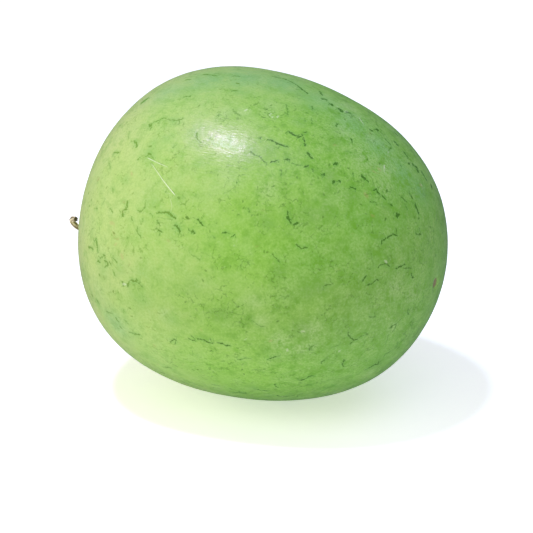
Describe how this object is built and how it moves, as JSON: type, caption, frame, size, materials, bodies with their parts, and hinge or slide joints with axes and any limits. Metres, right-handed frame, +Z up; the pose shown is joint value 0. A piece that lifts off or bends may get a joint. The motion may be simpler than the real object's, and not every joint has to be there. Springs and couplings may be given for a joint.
{
  "type": "watermelon",
  "caption": "Whole pale green oval watermelon lying on its side, with a dried curled stem.",
  "frame": {"origin": "under the middle of the whole melon and its stem, on the surface that it rests on", "axes": "+X along the melon from its stem end to its blossom end, +Y to its side, +Z up; the blossom end lies 6 degrees lower"},
  "size_m": [0.3062, 0.2592, 0.2587],
  "materials": {
    "rind": "satin",
    "dry_stem": "matte"
  },
  "bodies": {
    "root": {"fruit": "rind", "stem": "dry_stem"}
  },
  "joints": []
}
